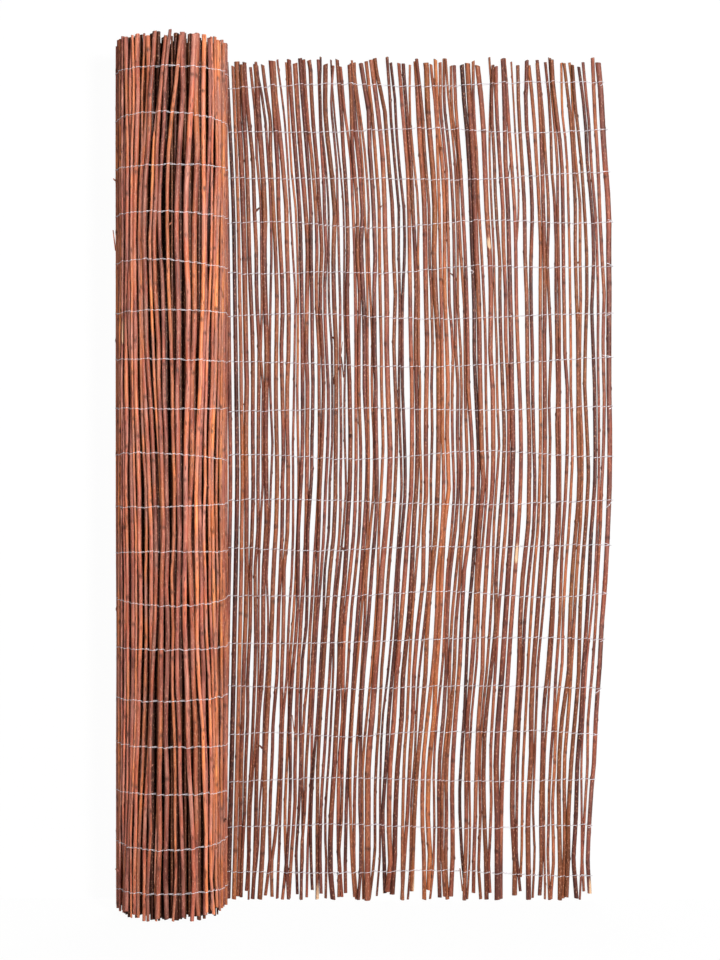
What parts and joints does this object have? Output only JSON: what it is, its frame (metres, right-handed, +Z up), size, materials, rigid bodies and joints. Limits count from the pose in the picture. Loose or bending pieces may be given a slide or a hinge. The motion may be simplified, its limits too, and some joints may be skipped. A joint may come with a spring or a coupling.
{
  "type": "willow screening fence roll",
  "caption": "Willow screening fence: thin upright rods bound by level rows of twisted wire, most of it wound into a standing roll, the rest unrolled flat beside it.",
  "frame": {"origin": "middle of the footprint's bounding box, on the ground", "axes": "+Z up along the rods, +X along the unrolled panel towards its free end, +Y towards the back, where the panel leaves the roll"},
  "size_m": [1.0524, 0.245, 1.816],
  "materials": {
    "bark": "satin willow bark",
    "wire": "galvanised"
  },
  "bodies": {
    "root": {"end_rod": "bark", "forked_rod": "bark", "outer_turn_rods_01": "bark", "outer_turn_rods_02": "bark", "outer_turn_rods_03": "bark", "outer_turn_rods_04": "bark", "outer_turn_rods_05": "bark", "outer_turn_rods_06": "bark", "outer_turn_rods_07": "bark", "outer_turn_rods_08": "bark", "outer_turn_rods_09": "bark", "outer_turn_rods_10": "bark", "outer_turn_rods_11": "bark", "panel_rods_01": "bark", "panel_rods_02": "bark", "panel_rods_03": "bark", "panel_rods_04": "bark", "panel_rods_05": "bark", "panel_rods_06": "bark", "panel_rods_07": "bark", "panel_rods_08": "bark", "panel_rods_09": "bark", "panel_rods_10": "bark", "panel_rods_11": "bark", "panel_rods_12": "bark", "panel_rods_13": "bark", "panel_rods_14": "bark", "panel_rods_15": "bark", "panel_rods_16": "bark", "panel_rods_17": "bark", "panel_rods_18": "bark", "panel_rods_19": "bark", "panel_rods_20": "bark", "panel_rods_21": "bark", "rolled_turns": "bark", "wire_row_01": "wire", "wire_row_02": "wire", "wire_row_03": "wire", "wire_row_04": "wire", "wire_row_05": "wire", "wire_row_06": "wire", "wire_row_07": "wire", "wire_row_08": "wire", "wire_row_09": "wire", "wire_row_10": "wire", "wire_row_11": "wire", "wire_row_12": "wire", "wire_row_13": "wire", "wire_row_14": "wire", "wire_row_15": "wire", "wire_row_16": "wire", "wire_row_17": "wire", "wire_row_18": "wire"}
  },
  "joints": []
}
